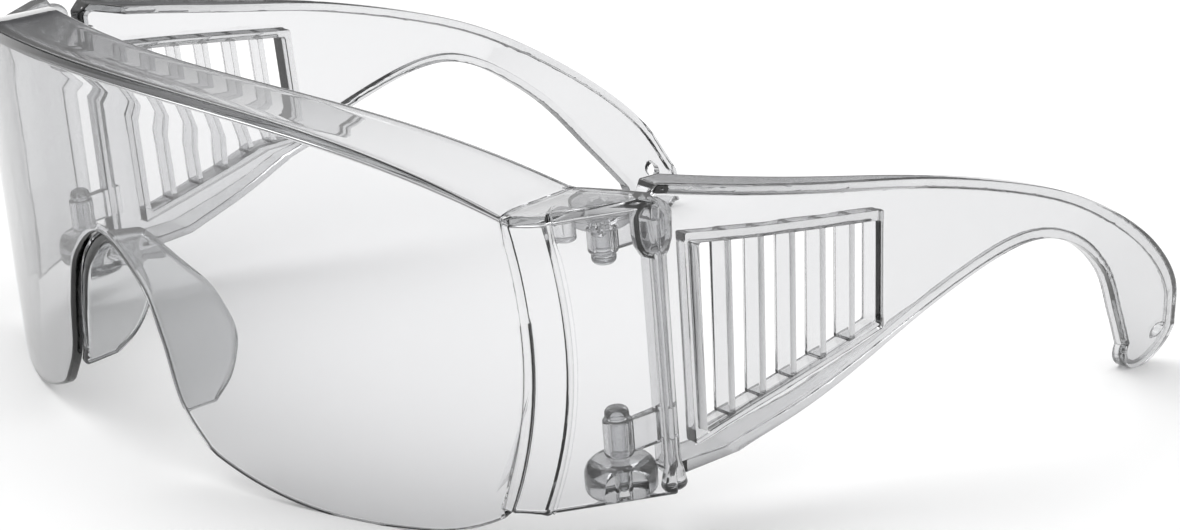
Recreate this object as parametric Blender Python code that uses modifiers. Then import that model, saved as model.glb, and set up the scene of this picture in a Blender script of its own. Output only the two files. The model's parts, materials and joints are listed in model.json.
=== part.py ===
"""Over-spectacles in clear polycarbonate: a wrapped front shield with a brow shelf, a nose
saddle, and two wide vented temples that fold on hinge pins. Metres, +Z up.

Every sub-part is modelled in the frame's own axes, with the hinge axes along +Z, the wearer's
left at +X and the front at -Y. One empty then tips the whole assembly so that it stands on the
shield's lower edge and the two temple tips, on Z = 0.
"""

import math

import bmesh
import bpy
from mathutils import Matrix, Vector

MM = 0.001

# Front shield
LENS_HALF = 70.5 * MM  # half width of the curved lens, at its outer face
LENS_NOSE_Y = -43.0 * MM  # the lens's foremost line, over the nose
LENS_BULGE = 24.0 * MM  # how far the lens sweeps back from there to its sides
WALL = 1.9 * MM  # moulded wall of the shield and the temples
CORNER = Vector((76.4, -14.8)) * MM  # where the lens band turns into the side wing, in plan
WING_END = Vector((82.6, -0.4)) * MM  # rear end of the side wing, in plan
CORNER_ROUND = 2.2 * MM  # how much of each side the rounded corner takes up
WING_TOP = 28.9 * MM
WING_BOTTOM = -17.0 * MM
BROW_SLOPE = 0.95  # the brow climbs this much for each unit that the lens runs forward,
BROW_EASE = 12.5  # less this much for each square metre, so that it levels out over the nose
CHEEK_DROP = 4.4 * MM  # the lens hangs this far below the wings over the cheeks
CHEEK_INNER = 50.0 * MM
CHEEK_INNER_RISE = 7.2 * MM
CHEEK_OUTER = 56.0 * MM
CHEEK_TURN = 13.0 * MM
SHELF_DEPTH = 12.8 * MM
SHELF_FALL = 2.3 * MM  # the brow shelf drops this much towards the face, over the nose
BEAD_RADIUS = 1.3 * MM

# Nose cut-out and the saddle that lines it, in front view as (X, Z)
ARCH_TOP = 18.3 * MM
ARCH_SHOULDER = Vector((8.8, 12.0)) * MM
ARCH_SIDE = Vector((12.6, 3.0)) * MM
ARCH_FOOT = Vector((15.2, -7.0)) * MM
ARCH_FLARE = Vector((20.5, -14.2)) * MM
SADDLE_WALL = 2.2 * MM
SADDLE_FORWARD = 0.7 * MM
SADDLE_TOP_DEPTH = 7.0 * MM  # from the lens's outer face back to the saddle's rear edge
SADDLE_PAD_DEPTH = 12.7 * MM
SADDLE_PAD_HEIGHT = 0.5 * MM  # height where the pads reach furthest back
SADDLE_END = -9.0 * MM
SADDLE_LOW_TRIM = 1.6 * MM  # how much shallower it is halfway from the pads to its ends
SADDLE_SWELL = 0.8 * MM  # how much deeper halfway up to the bridge than a straight run
SADDLE_CREST_TRIM = 0.9 * MM  # how much shallower above the bridge
SADDLE_END_DEPTH = 5.0 * MM
SADDLE_SPLAY = 0.08  # the pads open outward this much for each unit that they run back

# Hinges
HINGE = Vector((74.6, -5.2)) * MM  # hinge axis in plan
KNUCKLE_RADIUS = 2.3 * MM
EAR_TOP_RADIUS = 4.4 * MM
EAR_BOTTOM_RADIUS = 5.6 * MM
TOP_EAR_HEIGHT = 1.2 * MM  # how far the top ear stands down from the shelf
BOTTOM_EAR_HEIGHT = 5.2 * MM
TOP_KNUCKLE = 4.2 * MM
BOTTOM_KNUCKLE = 6.0 * MM
PIN_RADIUS = 1.1 * MM
PIN_HEAD = 1.9 * MM
PIN_HEAD_HEIGHT = 1.5 * MM
GAP = 0.3 * MM

# Temples, in side view as (Y, Z)
TEMPLE_LENGTH = 127.5 * MM  # from the frame's zero line to the middle of the round tip
TIP_DROP = -39.5 * MM
TIP_RADIUS = 6.9 * MM
TIP = Vector((TEMPLE_LENGTH, TIP_DROP))
TEMPLE_FACE = 80.4 * MM  # the panel's outer face stands this far out from the middle
TEMPLE_TOP = 30.0 * MM
TEMPLE_BOTTOM = -18.2 * MM
EAR_REST = Vector((80.0, -4.0)) * MM  # highest point of the arch over the ear
LIP_DEPTH = 8.0 * MM  # inward lip at its widest, measured from the outer face
LIP_END_DEPTH = 3.0 * MM
LIP_THICKNESS = 1.8 * MM
LIP_START = 5.0 * MM
LIP_FULL = 14.0 * MM
LIP_TAPER = 62.0 * MM
TUCK = 3.0 * MM  # the panel's front end is tucked in this far behind the wing
TUCK_END = 47.0 * MM
HOOK_START = TEMPLE_LENGTH - 39.5 * MM  # straight up to here, and the hook leans in behind
HOOK_FULL = TEMPLE_LENGTH - 23.5 * MM
HOOK_TOP = 0.0 * MM  # the hook leans inward below this height,
HOOK_SOFT = 16.0 * MM  # along an arc this tall and then a straight line
HOOK_LEAN = 0.31
LEAN = 0.06  # the panel's top leans out this much for each unit of height
LEAN_START = -2.0 * MM
LEAN_FULL = 22.0 * MM
LANYARD_HOLE = 1.4 * MM
LANYARD_AT = TIP + Vector((1.7, 0.7)) * MM
TEMPLE_LOW_EDGE = [Vector(p) * MM for p in ((34.0, -14.8), (60.0, -7.2))]
TEMPLE_HIGH_EDGE = [Vector(p) * MM for p in ((86.0, 4.6), (60.0, 14.2), (30.0, 22.4))]
HOOK_LOW_EDGE = [TIP + Vector(p) * MM for p in ((-34.5, 31.9), (-21.5, 21.3), (-12.5, 8.5))]
HOOK_HIGH_EDGE = [TIP + Vector(p) * MM for p in ((2.0, 11.5), (-9.0, 23.3), (-24.5, 34.9))]
FRONT_ROUND = 2.0 * MM  # how far back the panel's front corners are eased
SWEEP_START = 16.0 * MM  # the lower edge starts to rise here

# Vent window of each temple, in side view
VENT_FRONT = 9.8 * MM
VENT_REAR = 46.5 * MM
VENT_FRONT_TOP = 18.7 * MM
VENT_REAR_TOP = 11.2 * MM
VENT_FRONT_BOTTOM = -12.6 * MM
VENT_REAR_BOTTOM = -6.7 * MM
VENT_SLOTS = 6
VENT_RIM = 1.5 * MM
RIB_WIDTH = 1.4 * MM
RIB_DEPTH = 4.4 * MM  # the louvres' depth, from the panel's outer face inward
VENT_RECESS = 0.8 * MM
VENT_STEP = 0.35 * MM  # the slots stop this far inside the recess

OVERRUN = 5.0 * MM  # how far a cutter runs on past what it cuts
EDGE_ROUND = 0.7 * MM  # rounding of a bead's or a pin head's end
EAR_ROUND = 1.0 * MM
PIN_CHAMFER = 0.3 * MM
TRIM = 0.15 * MM  # taken off where the object stands, to give it flat feet

CUTTERS = "cutters"
OBJECT = "safety_glasses"


def clear_scene():
    for obj in list(bpy.data.objects):
        bpy.data.objects.remove(obj)


def collection(name, hidden=False):
    made = bpy.data.collections.new(name)
    made.hide_render = hidden
    bpy.context.scene.collection.children.link(made)
    return made


def clear_plastic(name, tint, roughness):
    """Water-clear polycarbonate."""
    material = bpy.data.materials.new(name)
    material.use_nodes = True
    shader = material.node_tree.nodes["Principled BSDF"]
    shader.inputs["Base Color"].default_value = (*tint, 1.0)
    shader.inputs["Roughness"].default_value = roughness
    shader.inputs["Metallic"].default_value = 0.0
    shader.inputs["IOR"].default_value = 1.585
    shader.inputs["Transmission Weight"].default_value = 1.0
    return material


def mesh_object(name, bm, home):
    mesh = bpy.data.meshes.new(name)
    bm.to_mesh(mesh)
    bm.free()
    made = bpy.data.objects.new(name, mesh)
    home.objects.link(made)
    return made


def face_outward(bm):
    bmesh.ops.recalc_face_normals(bm, faces=bm.faces)
    if bm.calc_volume(signed=True) < 0:
        bmesh.ops.reverse_faces(bm, faces=bm.faces)


def as_cutter(obj):
    obj.hide_render = True
    obj.display_type = "WIRE"
    return obj


def slab(name, outline, low, high, home, axes="xy"):
    """A flat outline, drawn as a filled 2D curve in the plane of the two axes named and extruded
    between low and high on the third, as a closed mesh."""
    drawn = bpy.data.curves.new(name, "CURVE")
    drawn.dimensions = "2D"
    drawn.fill_mode = "BOTH"
    drawn.extrude = (high - low) / 2
    spline = drawn.splines.new("POLY")
    spline.points.add(len(outline) - 1)
    for point, (u, v) in zip(spline.points, outline):
        point.co = (u, v, 0, 1)
    spline.use_cyclic_u = True
    flat = bpy.data.objects.new(name, drawn)
    home.objects.link(flat)
    flat.location.z = (high + low) / 2
    bpy.context.view_layer.update()
    evaluated = flat.evaluated_get(bpy.context.evaluated_depsgraph_get())
    mesh = bpy.data.meshes.new_from_object(evaluated)
    turn = {
        "xy": Matrix.Identity(3),
        "xz": Matrix(((1, 0, 0), (0, 0, -1), (0, 1, 0))),
        "yz": Matrix(((0, 0, 1), (1, 0, 0), (0, 1, 0))),
    }[axes]
    mesh.transform(turn.to_4x4() @ flat.matrix_world)
    bpy.data.objects.remove(flat)
    bm = bmesh.new()
    bm.from_mesh(mesh)
    bmesh.ops.remove_doubles(bm, verts=bm.verts, dist=1e-6)
    face_outward(bm)
    bm.to_mesh(mesh)
    bm.free()
    made = bpy.data.objects.new(name, mesh)
    home.objects.link(made)
    return made


def post(name, centre, radius, low, high, home, segments=32, round_end=0.0):
    """An upright cylinder, with an optional rounding at both of its ends."""
    bm = bmesh.new()
    middle = Matrix.Translation((*centre, (low + high) / 2))
    bmesh.ops.create_cone(
        bm,
        cap_ends=True,
        segments=segments,
        radius1=radius,
        radius2=radius,
        depth=high - low,
        matrix=middle,
    )
    if round_end:
        ends = [e for e in bm.edges if abs(e.verts[0].co.z - e.verts[1].co.z) < 1e-7]
        bmesh.ops.bevel(
            bm,
            geom=ends,
            offset=round_end,
            segments=3,
            profile=0.5,
            affect="EDGES",
            clamp_overlap=True,
        )
    return mesh_object(name, bm, home)


def combine(body, other, operation):
    """Cuts, joins or intersects body with other. Body's mesh becomes the result of all its
    modifiers, so none stays on it."""
    step = body.modifiers.new("step", "BOOLEAN")
    step.operation = operation
    step.object = other
    step.solver = "EXACT"
    bpy.context.view_layer.update()
    evaluated = body.evaluated_get(bpy.context.evaluated_depsgraph_get())
    result = bpy.data.meshes.new_from_object(evaluated)
    body.modifiers.clear()
    spent = body.data
    body.data = result
    bpy.data.meshes.remove(spent)
    bpy.data.objects.remove(other)
    return body


def cut(body, other):
    return combine(body, as_cutter(other), "DIFFERENCE")


def join(body, other):
    return combine(body, other, "UNION")


def spline(points, steps=6, closed=False):
    """A smooth line through the points: a Catmull-Rom curve, steps to a span."""
    count = len(points)
    spans = count if closed else count - 1
    line = []
    for i in range(spans):
        if closed:
            a, b, c, d = (points[(i + k) % count] for k in (-1, 0, 1, 2))
        else:
            b, c = points[i], points[i + 1]
            a = points[i - 1] if i else b + (b - c)
            d = points[i + 2] if i + 2 < count else c + (c - b)
        for k in range(steps):
            t = k / steps
            line.append(
                0.5
                * (
                    2 * b
                    + (c - a) * t
                    + (2 * a - 5 * b + 4 * c - d) * t**2
                    + (3 * b - a - 3 * c + d) * t**3
                )
            )
    if not closed:
        line.append(points[-1])
    return line


def inset(outline, distance):
    """The closed outline, moved inward. It runs anticlockwise, with no bend tighter than that."""
    moved = []
    for i, point in enumerate(outline):
        before = (point - outline[i - 1]).normalized()
        after = (outline[(i + 1) % len(outline)] - point).normalized()
        normal = Vector((-before.y - after.y, before.x + after.x)).normalized()
        square = Vector((-before.y, before.x))
        moved.append(point + normal * distance / max(normal.dot(square), 0.5))
    return moved


def slice_across(bm, cuts, normal=(0, 1, 0), start=-1.0):
    """Cuts edges into the faces behind start at each of these distances along the normal, so
    that the mesh can be bent there."""
    bmesh.ops.triangulate(bm, faces=bm.faces)
    for distance in cuts:
        faces = [f for f in bm.faces if f.calc_center_median().y > start]
        edges = {e for f in faces for e in f.edges}
        verts = {v for f in faces for v in f.verts}
        bmesh.ops.bisect_plane(
            bm,
            geom=list(verts) + list(edges) + faces,
            dist=1e-6,
            plane_co=Vector(normal) * distance,
            plane_no=normal,
        )


def smooth_step(value, start, end):
    t = min(1.0, max(0.0, (value - start) / (end - start)))
    return t * t * (3 - 2 * t)


# ---------------------------------------------------------------- front shield


def lens_y(x):
    return LENS_NOSE_Y + LENS_BULGE * (x / LENS_HALF) ** 2


def brow_z(y):
    """Height of the shield's top edge, where its outer face stands at y."""
    forward = max(0.0, lens_y(LENS_HALF) - y)
    return WING_TOP + BROW_SLOPE * forward - BROW_EASE * forward**2


def cheek_z(x):
    """Height of the shield's lower edge, without the nose cut-out."""
    x = abs(x)
    if x < CHEEK_INNER:
        rise = CHEEK_INNER_RISE * ((CHEEK_INNER - x) / (CHEEK_INNER - ARCH_FLARE.x)) ** 2
    elif x > CHEEK_OUTER:
        rise = CHEEK_DROP * min(1.0, ((x - CHEEK_OUTER) / CHEEK_TURN) ** 2)
    else:
        rise = 0.0
    return WING_BOTTOM - CHEEK_DROP + rise


def shield_plan():
    """The shield's outer face seen from above, from the right wing's rear end to the left's."""
    edge = Vector((LENS_HALF, lens_y(LENS_HALF)))
    into = CORNER + (edge - CORNER).normalized() * CORNER_ROUND
    away = CORNER + (WING_END - CORNER).normalized() * CORNER_ROUND
    half = [Vector((LENS_HALF * i / 26, lens_y(LENS_HALF * i / 26))) for i in range(1, 27)]
    for i in range(7):
        t = i / 6
        half.append((1 - t) ** 2 * into + 2 * t * (1 - t) * CORNER + t**2 * away)
    half += [away.lerp(WING_END, i / 4) for i in range(1, 5)]
    mirrored = [Vector((-p.x, p.y)) for p in reversed(half)]
    return mirrored + [Vector((0, LENS_NOSE_Y))] + half


def shield_wall(home):
    """The lens, its side bands and the wings: one curved wall, solidified inward."""
    bm = bmesh.new()
    rows = 4
    columns = []
    for p in shield_plan():
        low, high = cheek_z(p.x), brow_z(p.y)
        column = [bm.verts.new((p.x, p.y, low + (high - low) * r / rows)) for r in range(rows + 1)]
        columns.append(column)
    for left, right in zip(columns, columns[1:]):
        for r in range(rows):
            bm.faces.new((left[r], right[r], right[r + 1], left[r + 1]))
    wall = mesh_object("front_shield", bm, home)
    shell = wall.modifiers.new("wall", "SOLIDIFY")
    shell.thickness = WALL
    shell.offset = -1.0
    shell.use_even_offset = True
    return wall


def brow_shelf(home):
    """The ledge that runs back from the lens's top edge and closes the gap over the brows."""
    stations = 28
    reach = CORNER.x - 0.4 * WALL
    bm = bmesh.new()
    rows = []
    for i in range(-stations, stations + 1):
        x = reach * i / stations
        front = lens_y(x) if abs(x) < LENS_HALF else None
        if front is None:
            edge_y = lens_y(LENS_HALF)
            share = (abs(x) - LENS_HALF) / (CORNER.x - LENS_HALF)
            front = edge_y + (CORNER.y - edge_y) * share
        top = brow_z(front)
        fall = SHELF_FALL * (1 - (x / reach) ** 2)
        rows.append(
            (
                bm.verts.new((x, front + 0.2 * WALL, top)),
                bm.verts.new((x * 1.006, front + SHELF_DEPTH, top - fall)),
            )
        )
    for (a, b), (c, d) in zip(rows, rows[1:]):
        bm.faces.new((a, c, d, b))
    shelf = mesh_object("brow_shelf", bm, home)
    shell = shelf.modifiers.new("wall", "SOLIDIFY")
    shell.thickness = WALL
    shell.offset = -1.0
    shell.use_even_offset = True
    return shelf


def arch_outline(clearance):
    """Outline of the nose cut-out in (X, Z), moved inward by the clearance and closed off well
    below the shield."""
    side = [Vector((0, ARCH_TOP)), ARCH_SHOULDER, ARCH_SIDE, ARCH_FOOT, ARCH_FLARE]
    foot = ARCH_FLARE + (ARCH_FLARE - ARCH_FOOT)
    knots = [Vector((-p.x, p.y)) for p in reversed(side[1:])] + side
    line = spline([Vector((-foot.x, foot.y))] + knots + [foot], 8)
    line.reverse()
    moved = []
    for i, point in enumerate(line):
        along = line[min(i + 1, len(line) - 1)] - line[max(i - 1, 0)]
        moved.append(point + Vector((-along.y, along.x)).normalized() * clearance)
    below = WING_BOTTOM - 4 * CHEEK_DROP
    return moved + [Vector((moved[-1].x, below)), Vector((moved[0].x, below))]


def top_ear_underside():
    return WING_TOP - WALL - TOP_EAR_HEIGHT


def top_hole_end():
    return WING_TOP - 0.5 * WALL


def front_shield(home, cutters, material):
    shield = shield_wall(home)
    join(shield, brow_shelf(home))
    for side in (-1, 1):
        centre = Vector((side * HINGE.x, HINGE.y))
        join(
            shield,
            post("top_ear", centre, EAR_TOP_RADIUS, top_ear_underside(), WING_TOP - 0.6 * WALL, home),
        )
        ear = post(
            "bottom_ear",
            centre,
            EAR_BOTTOM_RADIUS,
            WING_BOTTOM,
            WING_BOTTOM + BOTTOM_EAR_HEIGHT,
            home,
            round_end=EAR_ROUND,
        )
        join(shield, ear)
        bead_at = Vector((side * (WING_END.x - BEAD_RADIUS), WING_END.y))
        bead = post("bead", bead_at, BEAD_RADIUS, WING_BOTTOM, WING_TOP, home, 20, EDGE_ROUND)
        join(shield, bead)
        hole = PIN_RADIUS + GAP
        cut(
            shield,
            post("top_hole", centre, hole, top_ear_underside() - OVERRUN, top_hole_end(), cutters, 24),
        )
        low, high = WING_BOTTOM - OVERRUN, WING_BOTTOM + BOTTOM_EAR_HEIGHT + OVERRUN
        cut(shield, post("bottom_hole", centre, hole, low, high, cutters, 24))
    opening = slab("nose_opening", arch_outline(0), -0.01, 0.08, cutters, "xz")
    cut(shield, opening)
    shield.data.materials.clear()
    shield.data.materials.append(material)
    return shield


# ---------------------------------------------------------------- nose saddle


def saddle_plan():
    """What the saddle keeps in front, seen from above: it starts just ahead of the lens."""
    reach = ARCH_FLARE.x + OVERRUN
    front = [Vector((reach * i / 12, lens_y(reach * i / 12) - SADDLE_FORWARD)) for i in range(-12, 13)]
    behind = LENS_NOSE_Y + 3 * SADDLE_PAD_DEPTH
    return front + [Vector((reach, behind)), Vector((-reach, behind))]


def saddle_side():
    """What it keeps behind, seen from the side in (Y, Z): low over the bridge, deep at the pads."""
    middle = (ARCH_TOP + SADDLE_PAD_HEIGHT) / 2
    depths = [
        (SADDLE_END_DEPTH, SADDLE_END),
        (SADDLE_PAD_DEPTH - SADDLE_LOW_TRIM, (SADDLE_END + SADDLE_PAD_HEIGHT) / 2),
        (SADDLE_PAD_DEPTH, SADDLE_PAD_HEIGHT),
        ((SADDLE_PAD_DEPTH + SADDLE_TOP_DEPTH) / 2 + SADDLE_SWELL, middle),
        (SADDLE_TOP_DEPTH, ARCH_TOP),
        (SADDLE_TOP_DEPTH - SADDLE_CREST_TRIM, ARCH_TOP + OVERRUN),
    ]
    rear = spline([Vector((LENS_NOSE_Y + depth, z)) for depth, z in depths], 5)
    ahead = LENS_NOSE_Y - SADDLE_PAD_DEPTH
    return rear + [Vector((ahead, rear[-1].y)), Vector((ahead, SADDLE_END))]


def nose_saddle(home, cutters, material):
    """A clear U-shaped nosepiece that lines the cut-out and splays back onto the nose."""
    outer = arch_outline(GAP)
    inner = arch_outline(GAP + SADDLE_WALL)
    saddle = slab("nose_saddle", outer, 0.02, 0.06, home, "xz")
    cut(saddle, slab("saddle_bore", inner, 0.01, 0.07, cutters, "xz"))
    low = SADDLE_END - OVERRUN
    plan = slab("saddle_plan", saddle_plan(), low, ARCH_TOP + OVERRUN, cutters)
    combine(saddle, plan, "INTERSECT")
    combine(saddle, slab("saddle_side", saddle_side(), -0.04, 0.04, cutters, "yz"), "INTERSECT")
    bm = bmesh.new()
    bm.from_mesh(saddle.data)
    slice_across(bm, [LENS_NOSE_Y + WALL + 1.5 * MM * i for i in range(1, 9)])
    for vertex in bm.verts:
        back = max(0.0, vertex.co.y - lens_y(vertex.co.x) - WALL - 2 * GAP)
        drop = min(1.0, max(0.0, (ARCH_SHOULDER.y - vertex.co.z) / (ARCH_SHOULDER.y - SADDLE_END)))
        vertex.co.x += math.copysign(SADDLE_SPLAY * back * drop, vertex.co.x)
    bmesh.ops.triangulate(bm, faces=bm.faces)
    bm.to_mesh(saddle.data)
    bm.free()
    saddle.data.materials.clear()
    saddle.data.materials.append(material)
    return saddle


# ---------------------------------------------------------------- temples


def temple_outline():
    """Side view of a temple, in (Y, Z), anticlockwise from the front bottom."""
    front = HINGE.y - 0.5 * MM
    step = HINGE.y + EAR_BOTTOM_RADIUS + 2.5 * GAP
    ear_top = WING_BOTTOM + BOTTOM_EAR_HEIGHT + GAP
    low = [
        Vector((SWEEP_START, TEMPLE_BOTTOM)),
        *TEMPLE_LOW_EDGE,
        EAR_REST,
        *HOOK_LOW_EDGE,
        TIP - Vector((TIP_RADIUS, 0)),
    ]
    high = [
        TIP + Vector((TIP_RADIUS, 0)),
        *HOOK_HIGH_EDGE,
        *TEMPLE_HIGH_EDGE,
        Vector((step + FRONT_ROUND, TEMPLE_TOP)),
    ]
    tip = [
        TIP + TIP_RADIUS * Vector((math.cos(a), math.sin(a)))
        for a in (math.pi * (1 + i / 10) for i in range(1, 10))
    ]
    start = [
        Vector((front, ear_top)),
        Vector((step, ear_top)),
        Vector((step, TEMPLE_BOTTOM + 2.5 * MM)),
        Vector((step + FRONT_ROUND, TEMPLE_BOTTOM + 0.5 * MM)),
    ]
    knuckle_top = top_ear_underside() - GAP
    end = [
        Vector((step, TEMPLE_TOP - 1.2 * MM)),
        Vector((step, knuckle_top)),
        Vector((front, knuckle_top)),
    ]
    return start + spline(low, 6) + tip + spline(high, 6) + end


def vent_edge(y, upper, margin):
    """Height of the vent window's slanting top or bottom at y, moved in by the margin."""
    share = (y - VENT_FRONT) / (VENT_REAR - VENT_FRONT)
    if upper:
        return VENT_FRONT_TOP + (VENT_REAR_TOP - VENT_FRONT_TOP) * share - margin
    return VENT_FRONT_BOTTOM + (VENT_REAR_BOTTOM - VENT_FRONT_BOTTOM) * share + margin


def vent_pane(front, rear, margin):
    return [
        Vector((front, vent_edge(front, False, margin))),
        Vector((rear, vent_edge(rear, False, margin))),
        Vector((rear, vent_edge(rear, True, margin))),
        Vector((front, vent_edge(front, True, margin))),
    ]


def lip_taper_plan(outer):
    """What the lips lose, seen from above in (X, Y) from the hinge axis: they start behind the
    hinge, stand widest there, and narrow down to a low rim along the rest of the temple."""
    narrow = outer - LIP_END_DEPTH
    wide = outer - LIP_DEPTH
    far = outer - 3 * LIP_DEPTH
    behind = TEMPLE_LENGTH + LIP_TAPER
    return [
        Vector((far, -LIP_TAPER)),
        Vector((outer - WALL - GAP, -LIP_TAPER)),
        Vector((outer - WALL - GAP, LIP_START)),
        Vector((wide, LIP_FULL)),
        Vector((narrow, LIP_TAPER)),
        Vector((narrow, behind)),
        Vector((far, behind)),
    ]


def hook_offset(y, z):
    """How far the hook has leaned inward at this height: along an arc, then its tangent."""
    drop = max(0.0, HOOK_TOP - z)
    soft = min(drop, HOOK_SOFT)
    lean = HOOK_LEAN * (soft**2 / (2 * HOOK_SOFT) + drop - soft)
    return lean * smooth_step(y, HOOK_START, HOOK_FULL)


def tuck_offset(y):
    """How far the panel is tucked in at y, towards its front end behind the wing."""
    return TUCK * max(0.0, (TUCK_END - y) / (TUCK_END - HINGE.y)) ** 2


def shape_temple(temple):
    """Bends the flat blank: its front end tucked in, its top leaning out, its hook leaning in."""
    bm = bmesh.new()
    bm.from_mesh(temple.data)
    cuts = [LEAN_START + (LEAN_FULL - LEAN_START) * i / 6 for i in range(7)]
    cuts += [LEAN_FULL + (TUCK_END - LEAN_FULL) * i / 5 for i in range(1, 6)]
    cuts += [HOOK_START + (HOOK_FULL - HOOK_START) * i / 6 for i in range(7)]
    slice_across(bm, [y - HINGE.y for y in cuts])
    drops = [HOOK_TOP - HOOK_SOFT * i / 5 for i in range(6)]
    slice_across(bm, drops, (0, 0, 1), HOOK_START - HINGE.y)
    for vertex in bm.verts:
        y = vertex.co.y + HINGE.y
        lean = LEAN * vertex.co.z * smooth_step(y, LEAN_START, LEAN_FULL)
        vertex.co.x += lean - hook_offset(y, vertex.co.z) - tuck_offset(y)
    bmesh.ops.triangulate(bm, faces=bm.faces)
    bm.to_mesh(temple.data)
    bm.free()


def temple_blank(name, home, cutters):
    """A left temple with its origin on the hinge axis, before it is leaned and curved."""
    outer = TEMPLE_FACE - HINGE.x
    side_view = [Vector((p.x - HINGE.y, p.y)) for p in temple_outline()]
    blank = slab(name, side_view, outer - LIP_DEPTH, outer, home, "yz")
    pocket = inset(side_view, LIP_THICKNESS)
    cut(blank, slab("pocket", pocket, outer - 2 * LIP_DEPTH, outer - WALL, cutters, "yz"))
    cut(blank, slab("taper", lip_taper_plan(outer), -0.08, 0.08, cutters))

    def shifted(pane):
        return [Vector((p.x - HINGE.y, p.y)) for p in pane]

    frame = shifted(vent_pane(VENT_FRONT - VENT_RIM, VENT_REAR + VENT_RIM, -VENT_RIM))
    join(blank, slab("vent_frame", frame, outer - RIB_DEPTH, outer - 0.5 * WALL, home, "yz"))
    window = shifted(vent_pane(VENT_FRONT, VENT_REAR, 0))
    cut(blank, slab("recess", window, outer - VENT_RECESS, outer + WALL, cutters, "yz"))
    first, last = VENT_FRONT + VENT_STEP, VENT_REAR - VENT_STEP
    pitch = (last - first + RIB_WIDTH) / VENT_SLOTS
    for i in range(VENT_SLOTS):
        front = first + i * pitch
        slot = shifted(vent_pane(front, front + pitch - RIB_WIDTH, VENT_STEP))
        cut(blank, slab("slot", slot, outer - 2 * RIB_DEPTH, outer + WALL, cutters, "yz"))

    lanyard = post("lanyard", (0, 0), LANYARD_HOLE, -0.02, 0.02, cutters, 20)
    place = Matrix.Translation((0, LANYARD_AT.x - HINGE.y, LANYARD_AT.y))
    lanyard.data.transform(place @ Matrix.Rotation(math.pi / 2, 4, "Y"))
    cut(blank, lanyard)
    return blank


def add_knuckles(blank, home, cutters):
    """The barrels round the hinge axis at the panel's front edge, with room for the pins."""
    knuckle_top = top_ear_underside() - GAP
    knuckle_low = WING_BOTTOM + BOTTOM_EAR_HEIGHT + GAP
    spans = ((knuckle_top - TOP_KNUCKLE, knuckle_top), (knuckle_low, knuckle_low + BOTTOM_KNUCKLE))
    head_room = PIN_HEAD_HEIGHT + 4 * GAP
    rooms = ((spans[0][0] - head_room, spans[0][0]), (spans[1][1], spans[1][1] + head_room))
    for low, high in rooms:
        cut(blank, post("head_room", (0, 0), KNUCKLE_RADIUS + GAP, low, high, cutters, 28))
    for low, high in spans:
        join(blank, post("knuckle", (0, 0), KNUCKLE_RADIUS, low, high, home, 28))
    for low, high in spans:
        hole = PIN_RADIUS + GAP
        cut(blank, post("bore", (0, 0), hole, low - 3 * GAP, high + 3 * GAP, cutters, 24))


def temple(name, side, home, cutters, material):
    made = temple_blank(name, home, cutters)
    shape_temple(made)
    add_knuckles(made, home, cutters)
    if side < 0:
        bm = bmesh.new()
        bm.from_mesh(made.data)
        for vertex in bm.verts:
            vertex.co.x = -vertex.co.x
        bmesh.ops.reverse_faces(bm, faces=bm.faces)
        bm.to_mesh(made.data)
        bm.free()
    made.location = (side * HINGE.x, HINGE.y, 0)
    made.data.materials.clear()
    made.data.materials.append(material)
    return made


# ---------------------------------------------------------------- hinge pins


def pin(name, side, low, high, head_below, home, material):
    """A push-in hinge pin: a straight shank with a rounded head at one end."""
    inside = 0.5 * PIN_HEAD_HEIGHT  # the shank starts within its head
    bottom, top = (low - inside, high) if head_below else (low, high + inside)
    shank = post(name, (0, 0), PIN_RADIUS, bottom, top, home, 20, PIN_CHAMFER)
    if head_below:
        span = (low - PIN_HEAD_HEIGHT, low)
    else:
        span = (high, high + PIN_HEAD_HEIGHT)
    join(shank, post("head", (0, 0), PIN_HEAD, *span, home, 20, EDGE_ROUND))
    shank.location = (side * HINGE.x, HINGE.y, 0)
    shank.data.materials.clear()
    shank.data.materials.append(material)
    return shank


def hinge_pins(name, side, home, material):
    under_knuckle = top_ear_underside() - GAP - TOP_KNUCKLE - GAP
    over_knuckle = WING_BOTTOM + BOTTOM_EAR_HEIGHT + GAP + BOTTOM_KNUCKLE + GAP
    top = pin(name + "_top_pin", side, under_knuckle, top_hole_end() - GAP, True, home, material)
    foot = WING_BOTTOM + GAP
    bottom = pin(name + "_bottom_pin", side, foot, over_knuckle, False, home, material)
    return [top, bottom]


# ---------------------------------------------------------------- assembly


def rest_frame():
    """The tip and lift that stand the assembly on its lens edge and its temple tips."""
    contacts = [(lens_y(x), cheek_z(x)) for x in (CHEEK_INNER * i / 40 for i in range(22, 41))]
    tilt = 0.0
    for _ in range(30):
        low_y, low_z = min(contacts, key=lambda c: c[0] * math.sin(tilt) + c[1] * math.cos(tilt))
        run, rise = TIP.x - low_y, TIP.y - low_z
        reach = math.hypot(run, rise)
        tilt = math.asin(TIP_RADIUS / reach) - math.atan2(rise, run)
    floor = low_y * math.sin(tilt) + low_z * math.cos(tilt)
    return tilt, -floor - TRIM


def trim_to_floor(obj, frame):
    """Takes off what reaches below Z = 0 in the world, which leaves flat feet."""
    bm = bmesh.new()
    bm.from_mesh(obj.data)
    to_world = frame @ Matrix.Translation(obj.location)
    bmesh.ops.triangulate(bm, faces=bm.faces)
    bm.transform(to_world)
    cut_geom = bmesh.ops.bisect_plane(
        bm,
        geom=list(bm.verts) + list(bm.edges) + list(bm.faces),
        dist=1e-7,
        plane_co=(0, 0, 0),
        plane_no=(0, 0, -1),
        clear_outer=True,
    )["geom_cut"]
    edges = [e for e in cut_geom if isinstance(e, bmesh.types.BMEdge)]
    bmesh.ops.triangle_fill(bm, use_beauty=True, edges=edges, normal=(0, 0, -1))
    face_outward(bm)
    bm.transform(to_world.inverted())
    bm.to_mesh(obj.data)
    bm.free()


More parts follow.
